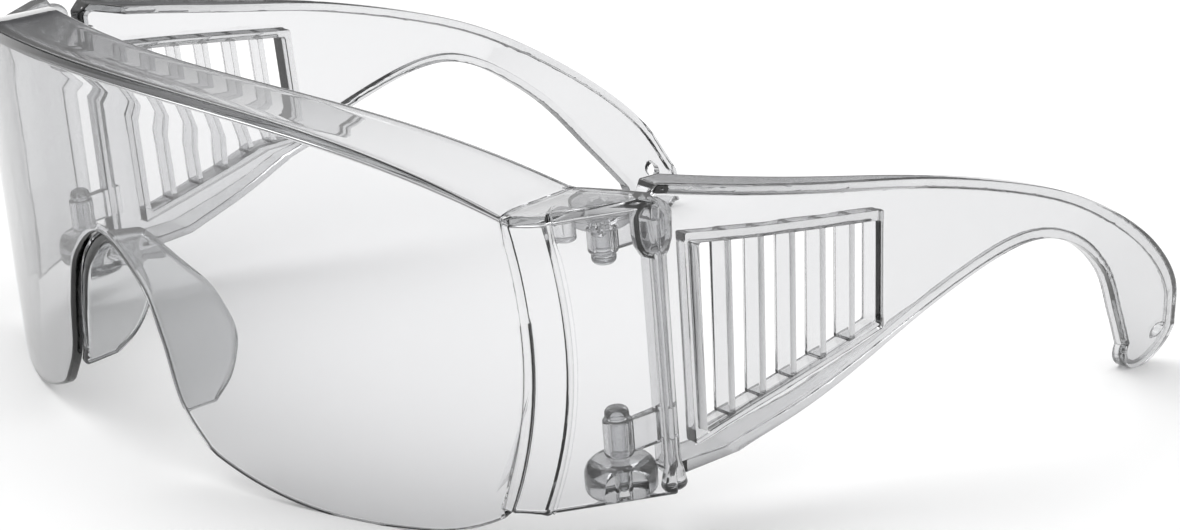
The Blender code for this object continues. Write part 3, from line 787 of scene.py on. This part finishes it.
def vent_window(margin):
    """The slanting vent window, larger all round by the margin."""
    front, rear = VENT_FRONT - margin, VENT_REAR + margin
    return [
        Vector((front, vent_edge(front, VENT_BOTTOMS, -margin))),
        Vector((rear, vent_edge(rear, VENT_BOTTOMS, -margin))),
        Vector((rear, vent_edge(rear, VENT_TOPS, margin))),
        Vector((front, vent_edge(front, VENT_TOPS, margin))),
    ]


def bend_arm(obj, spacing=2.4):
    """Cuts a flat piece of arm into a fine grid and bends it: tucked in at its front end,
    leaning out at its top, and its hook leaning in."""
    bm = bmesh.new()
    bm.from_mesh(obj.data)
    lows = [min(v.co[k] for v in bm.verts) for k in range(3)]
    highs = [max(v.co[k] for v in bm.verts) for k in range(3)]
    for axis, normal in ((1, (0, 1, 0)), (2, (0, 0, 1))):
        cuts = int((highs[axis] - lows[axis]) / spacing)
        for i in range(1, cuts + 1):
            point = Vector((0, 0, 0))
            point[axis] = lows[axis] + spacing * i - 0.37
            geometry = list(bm.verts) + list(bm.edges) + list(bm.faces)
            bmesh.ops.bisect_plane(bm, geom=geometry, dist=1e-4, plane_co=point, plane_no=normal)
    for vertex in bm.verts:
        y, z = vertex.co.y, vertex.co.z
        lean = LEAN * z * smooth_step(y, LEAN_START, LEAN_FULL)
        tuck = TUCK * max(0.0, (TUCK_END - y) / (TUCK_END - HINGE.y)) ** 2
        drop = max(0.0, -z)
        soft = min(drop, HOOK_SOFT)
        hook = HOOK_LEAN * (soft**2 / (2 * HOOK_SOFT) + drop - soft)
        vertex.co.x += lean - tuck - hook * smooth_step(y, HOOK_START, HOOK_FULL)
    bm.to_mesh(obj.data)
    bm.free()
    return obj


def arm_blank():
    """The flat arm: a panel with a lip all round, a rimmed vent window and the cord hole."""
    outline = arm_outline()
    blank = prism("arm", outline, ARM_FACE - LIP_DEPTH, ARM_FACE)
    pocket = inset(outline, LIP_THICKNESS)
    combine(blank, prism("pocket", pocket, ARM_FACE - 2 * LIP_DEPTH, ARM_FACE - WALL), "DIFFERENCE")
    narrow, wide, far = ARM_FACE - LIP_END_DEPTH, ARM_FACE - LIP_DEPTH, ARM_FACE - 3 * LIP_DEPTH
    taper = [
        (far, -40),
        (ARM_FACE - WALL - 0.05, -40),
        (ARM_FACE - WALL - 0.05, HINGE.y + LIP_START),
        (wide, HINGE.y + LIP_FULL),
        (narrow, HINGE.y + LIP_TAPER),
        (narrow, 160),
        (far, 160),
    ]
    combine(blank, prism("taper", taper, -90, 90, "xy"), "DIFFERENCE")
    rim = prism("rim", vent_window(VENT_RIM), ARM_FACE - RIB_DEPTH, ARM_FACE - 0.5 * WALL)
    combine(blank, rim, "UNION")
    window = prism("window", vent_window(0.0), ARM_FACE - 2 * RIB_DEPTH, ARM_FACE + 2)
    combine(blank, window, "DIFFERENCE")
    steps = 28
    hole = [
        LANYARD_AT + LANYARD_HOLE * Vector((math.cos(a), math.sin(a)))
        for a in (2 * math.pi * i / steps for i in range(steps))
    ]
    combine(blank, prism("cord_hole", hole, ARM_FACE - 20, ARM_FACE + 2), "DIFFERENCE")
    return round_edges(blank, ARM_ROUND, 2, 40)


def knuckles():
    """The two barrels on the hinge axis, each with the web that carries it on the panel."""
    made = []
    knuckle_top = TOP_EAR_LOW - GAP
    knuckle_low = WING_BOTTOM + EAR_HEIGHT + GAP
    spans = ((knuckle_top - TOP_KNUCKLE, knuckle_top), (knuckle_low, knuckle_low + BOTTOM_KNUCKLE))
    bore = PIN_RADIUS + GAP
    for low, high in spans:
        radius = KNUCKLE_RADIUS
        profile = [(bore, low + BORE_CHAMFER), (bore + BORE_CHAMFER, low)]
        profile += arc((radius - BARREL_ROUND, low + BARREL_ROUND), BARREL_ROUND, -90, 0, 4)
        profile += arc((radius - BARREL_ROUND, high - BARREL_ROUND), BARREL_ROUND, 0, 90, 4)
        profile += [(bore + BORE_CHAMFER, high), (bore, high - BORE_CHAMFER)]
        barrel = turned("knuckle", profile, (HINGE.x, HINGE.y), 36)
        reach = ARM_FACE - TUCK - 0.4
        web = [
            (HINGE.x + 0.4, HINGE.y + 1.7),
            (HINGE.x + 1.7, HINGE.y + 0.4),
            (reach + 0.2, ARM_FRONT + 0.6),
            (reach + 0.1, ARM_FRONT + 3.0),
            (reach - 1.7, ARM_FRONT + 3.0),
        ]
        plate = prism("web", web, low + 0.3, high - 0.3, "xy")
        made.append(combine(barrel, round_edges(plate, 0.25, 2, 30), "UNION"))
    return made


def louvre_tree():
    """Upright ribs across a slanting window, one after another from front to rear."""
    tree = bpy.data.node_groups.new("vent_louvres", "GeometryNodeTree")
    face = tree.interface
    face.new_socket(name="Geometry", in_out="OUTPUT", socket_type="NodeSocketGeometry")
    face.new_socket(name="Ribs", in_out="INPUT", socket_type="NodeSocketInt")
    for name in (
        "Front",
        "Pitch",
        "Top",
        "Top Slope",
        "Bottom",
        "Bottom Slope",
        "Rib Width",
        "Rib Depth",
        "Face",
    ):
        face.new_socket(name=name, in_out="INPUT", socket_type="NodeSocketFloat")
    face.new_socket(name="Material", in_out="INPUT", socket_type="NodeSocketMaterial")
    given = add_node(tree, "NodeGroupInput").outputs

    def sum_of(a, b):
        return add_node(tree, "ShaderNodeMath", {0: a, 1: b}, operation="ADD").outputs[0]

    def product(a, b):
        return add_node(tree, "ShaderNodeMath", {0: a, 1: b}, operation="MULTIPLY").outputs[0]

    points = add_node(tree, "GeometryNodePoints", {"Count": given["Ribs"]})
    index = add_node(tree, "GeometryNodeInputIndex").outputs[0]
    run = product(sum_of(index, 1.0), given["Pitch"])
    top = sum_of(given["Top"], product(run, given["Top Slope"]))
    bottom = sum_of(given["Bottom"], product(run, given["Bottom Slope"]))
    middle = product(sum_of(top, bottom), 0.5)
    height = sum_of(top, product(bottom, -1.0))
    centre_x = sum_of(given["Face"], product(given["Rib Depth"], -0.5))
    centre = add_node(
        tree, "ShaderNodeCombineXYZ", {"X": centre_x, "Y": sum_of(given["Front"], run), "Z": middle}
    )
    placed = add_node(
        tree,
        "GeometryNodeSetPosition",
        {"Geometry": points.outputs[0], "Position": centre.outputs[0]},
    )
    rib = add_node(tree, "GeometryNodeMeshCube")
    size = add_node(
        tree,
        "ShaderNodeCombineXYZ",
        {"X": given["Rib Depth"], "Y": given["Rib Width"], "Z": height},
    )
    ribs = add_node(
        tree,
        "GeometryNodeInstanceOnPoints",
        {"Points": placed.outputs[0], "Instance": rib.outputs[0], "Scale": size.outputs[0]},
    )
    real = add_node(tree, "GeometryNodeRealizeInstances", {"Geometry": ribs.outputs[0]})
    coated = add_node(
        tree, "GeometryNodeSetMaterial", {"Geometry": real.outputs[0], "Material": given["Material"]}
    )
    add_node(tree, "NodeGroupOutput", {"Geometry": coated.outputs[0]})
    return tree


def louvres(tree):
    """One arm's ribs, as a plain mesh with rounded edges."""
    pitch = (VENT_REAR - VENT_FRONT + RIB_WIDTH) / VENT_SLOTS
    length = VENT_REAR - VENT_FRONT
    values = {
        "Ribs": VENT_SLOTS - 1,
        "Front": VENT_FRONT - RIB_WIDTH / 2,
        "Pitch": pitch,
        "Top": VENT_TOPS[0] + RIB_INTO_FRAME,
        "Top Slope": (VENT_TOPS[1] - VENT_TOPS[0]) / length,
        "Bottom": VENT_BOTTOMS[0] - RIB_INTO_FRAME,
        "Bottom Slope": (VENT_BOTTOMS[1] - VENT_BOTTOMS[0]) / length,
        "Rib Width": RIB_WIDTH,
        "Rib Depth": RIB_DEPTH - RIB_SHORT,
        "Face": ARM_FACE - RIB_SET_IN,
        "Material": ARM_CLEAR,
    }
    made = new_object("louvres", bpy.data.meshes.new("louvres"))
    modifier = made.modifiers.new("louvres", "NODES")
    modifier.node_group = tree
    for item in tree.interface.items_tree:
        if item.in_out == "INPUT" and item.name in values:
            modifier[item.identifier] = values[item.name]
    settle(made)
    return round_edges(made, RIB_ROUND, 2, 40)


def make_arms():
    tree = louvre_tree()
    for name, side in (("left", 1), ("right", -1)):
        body = name + "_arm"
        arm = bend_arm(arm_blank())
        for barrel in knuckles():
            combine(arm, barrel, "UNION")
        mirrored(arm, side)
        finish_piece(arm, name + "_arm_panel", ARM_CLEAR, body, [name + "_temple"])
        ribs = mirrored(bend_arm(louvres(tree), 4.0), side)
        finish_piece(ribs, name + "_vent_louvres", ARM_CLEAR, body)


# ------------------------------------------------------------------ pins


def make_pins():
    """Two push-in pins to a hinge, round-headed, the upper one's head hanging below its barrel."""
    under = TOP_EAR_LOW - 2 * GAP - TOP_KNUCKLE
    over = WING_BOTTOM + EAR_HEIGHT + 2 * GAP + BOTTOM_KNUCKLE
    for name, side in (("left", 1), ("right", -1)):
        centre = (side * HINGE.x, HINGE.y)
        top = WING_TOP - 0.5 * WALL - GAP
        crown = under - PIN_HEAD_HEIGHT
        profile = [(0, crown)]
        profile += arc((PIN_HEAD - PIN_DOME, crown + PIN_DOME), PIN_DOME, -90, 0)
        profile += arc((PIN_HEAD - PIN_NECK, under - PIN_NECK), PIN_NECK, 0, 90, 3)
        profile += [(PIN_RADIUS, under), (PIN_RADIUS, top - PIN_POINT)]
        profile += [(PIN_RADIUS - PIN_POINT, top), (0, top)]
        pin = turned("pin", profile, centre, 32)
        node = name + "_top_pin"
        finish_piece(pin, name + "_upper_pin", PIN_CLEAR, "front", [node])
        foot = WING_BOTTOM + GAP
        crown = over + PIN_HEAD_HEIGHT
        profile = [(0, foot), (PIN_RADIUS - PIN_NECK, foot)]
        profile += [(PIN_RADIUS, foot + PIN_NECK), (PIN_RADIUS, over)]
        profile += arc((PIN_HEAD - PIN_NECK, over + PIN_NECK), PIN_NECK, -90, 0, 3)
        profile += arc((PIN_HEAD - PIN_DOME, crown - PIN_DOME), PIN_DOME, 0, 90)
        profile += [(0, crown)]
        pin = turned("pin", profile, centre, 32)
        node = name + "_bottom_pin"
        finish_piece(pin, name + "_lower_pin", PIN_CLEAR, "front", [node])


# ------------------------------------------------------------------ studio


def make_floor():
    bpy.ops.mesh.primitive_plane_add(size=FLOOR_SIZE)
    floor = bpy.context.object
    floor.name = "studio_floor"
    floor.data.materials.append(painted_floor())


def make_light():
    """A white dome that darkens towards the horizon, and one broad softbox."""
    world = bpy.data.worlds.new("studio_dome")
    bpy.context.scene.world = world
    world.use_nodes = True
    tree = world.node_tree
    tree.nodes.clear()
    way = add_node(tree, "ShaderNodeTexCoord").outputs["Generated"]
    height = add_node(tree, "ShaderNodeSeparateXYZ", {"Vector": way}).outputs["Z"]
    ramp = add_node(tree, "ShaderNodeValToRGB", {"Fac": height})
    stops = ramp.color_ramp.elements
    stops[0].position = 0.02
    stops[0].color = HORIZON_GREY
    stops[1].position = 0.55
    stops[1].color = (1, 1, 1, 1)
    glow = add_node(
        tree, "ShaderNodeBackground", {"Color": ramp.outputs["Color"], "Strength": DOME_STRENGTH}
    )
    add_node(tree, "ShaderNodeOutputWorld", {"Surface": glow.outputs["Background"]})
    box = bpy.data.lights.new("softbox", "AREA")
    box.shape = "RECTANGLE"
    box.size, box.size_y = SOFTBOX_SIZE
    box.energy = SOFTBOX_WATTS
    lamp = bpy.data.objects.new("softbox", box)
    bpy.context.scene.collection.objects.link(lamp)
    lamp.location = SOFTBOX_AT
    lamp.rotation_euler = (-lamp.location).to_track_quat("-Z", "Y").to_euler()


def make_camera():
    data = bpy.data.cameras.new("camera")
    data.lens = FOCAL_LENGTH
    data.sensor_width = SENSOR_WIDTH
    data.clip_start = 0.01
    camera = bpy.data.objects.new("camera", data)
    bpy.context.scene.collection.objects.link(camera)
    back = Vector(
        (
            math.sin(CAMERA_YAW) * math.cos(CAMERA_DOWN),
            -math.cos(CAMERA_YAW) * math.cos(CAMERA_DOWN),
            math.sin(CAMERA_DOWN),
        )
    )
    level = (-back).cross(Vector((0, 0, 1))).normalized()
    rise = level.cross(-back)
    right = math.cos(CAMERA_ROLL) * level + math.sin(CAMERA_ROLL) * rise
    up = -math.sin(CAMERA_ROLL) * level + math.cos(CAMERA_ROLL) * rise
    turn = Matrix((right, up, back)).transposed().to_4x4()
    camera.matrix_world = Matrix.Translation(STAND @ CAMERA_AT) @ TIPPED @ turn
    bpy.context.scene.camera = camera


make_shield()
make_nosepiece()
make_arms()
make_pins()
make_floor()
make_light()
make_camera()
bpy.context.scene.view_settings.view_transform = "Standard"
